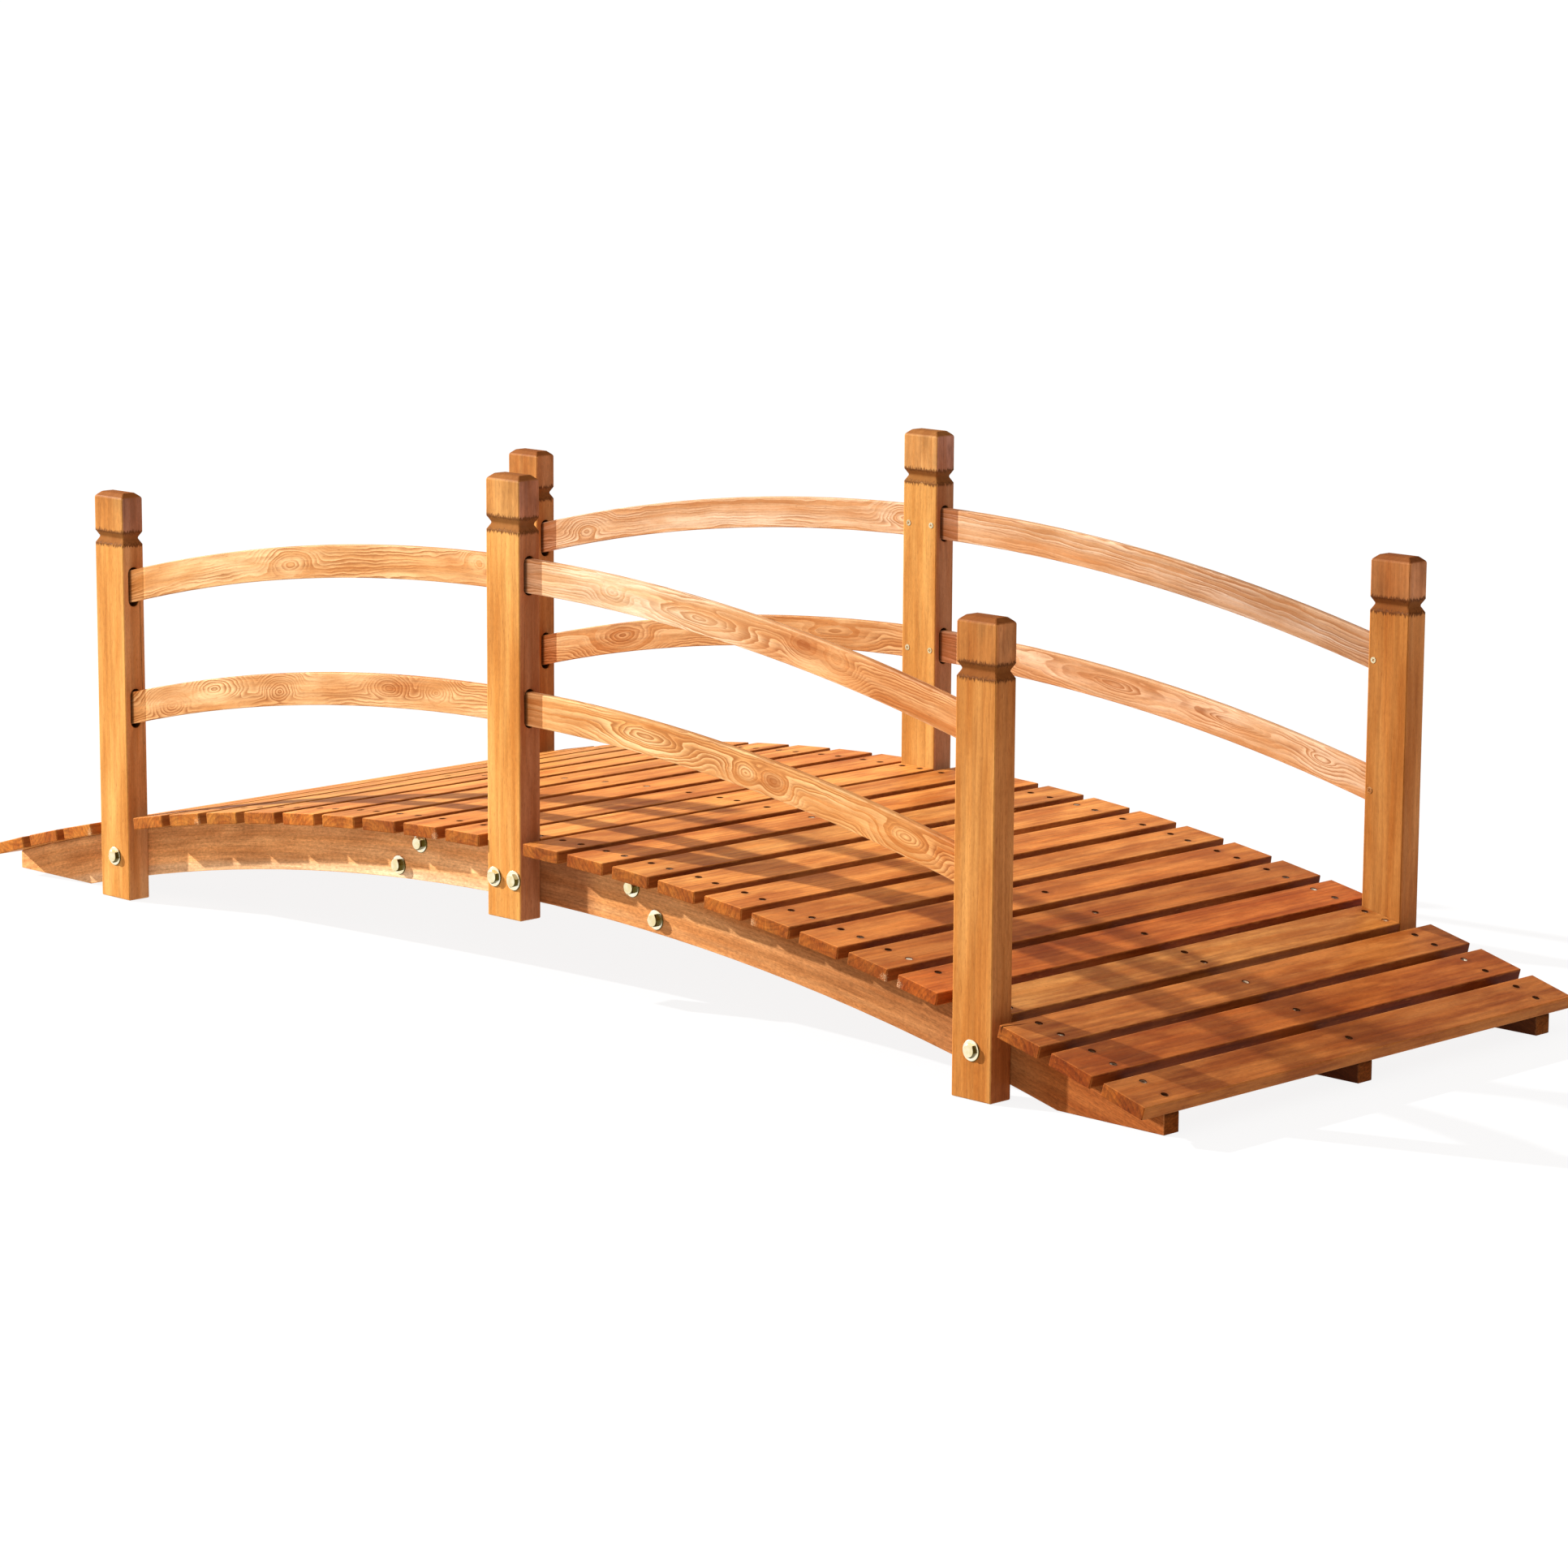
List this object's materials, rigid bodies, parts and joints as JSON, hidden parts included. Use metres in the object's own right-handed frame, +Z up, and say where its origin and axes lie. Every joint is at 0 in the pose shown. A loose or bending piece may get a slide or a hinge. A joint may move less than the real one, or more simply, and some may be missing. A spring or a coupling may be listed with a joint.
{
  "type": "garden bridge",
  "caption": "Arched timber garden bridge with a slatted deck on curved stringers, grooved posts and two curved rails along each side.",
  "frame": {"origin": "on the ground under the middle of the bridge, at the bottom centre of its box", "axes": "+X along the bridge, +Y across it towards the back railing, +Z up"},
  "size_m": [2, 0.755, 0.6136],
  "materials": {
    "post_wood": "satin golden stain",
    "rail_wood": "satin light stain with open grain",
    "deck_wood": "satin brown stain",
    "beam_wood": "satin brown stain",
    "fixings": "yellow zinc plate"
  },
  "bodies": {
    "root": {"post_front_left": "post_wood", "post_front_middle": "post_wood", "post_front_right": "post_wood", "post_back_left": "post_wood", "post_back_middle": "post_wood", "post_back_right": "post_wood", "rail_upper_front_left": "rail_wood", "rail_upper_front_right": "rail_wood", "rail_upper_back_left": "rail_wood", "rail_upper_back_right": "rail_wood", "rail_lower_front_left": "rail_wood", "rail_lower_front_right": "rail_wood", "rail_lower_back_left": "rail_wood", "rail_lower_back_right": "rail_wood", "stringer_front_left": "beam_wood", "stringer_front_right": "beam_wood", "stringer_centre_left": "beam_wood", "stringer_centre_right": "beam_wood", "stringer_back_left": "beam_wood", "stringer_back_right": "beam_wood", "splice_front": "beam_wood", "splice_centre_front": "beam_wood", "splice_centre_back": "beam_wood", "splice_back": "beam_wood", "board_1": "deck_wood", "board_2": "deck_wood", "board_3": "deck_wood", "board_4": "deck_wood", "board_5": "deck_wood", "board_6": "deck_wood", "board_7": "deck_wood", "board_8": "deck_wood", "board_9": "deck_wood", "board_10": "deck_wood", "board_11": "deck_wood", "board_12": "deck_wood", "board_13": "deck_wood", "board_14": "deck_wood", "board_15": "deck_wood", "board_16": "deck_wood", "board_17": "deck_wood", "board_18": "deck_wood", "board_19": "deck_wood", "board_20": "deck_wood", "board_21": "deck_wood", "board_22": "deck_wood", "board_23": "deck_wood", "board_24": "deck_wood", "board_25": "deck_wood", "board_26": "deck_wood", "board_27": "deck_wood"}
  },
  "joints": []
}
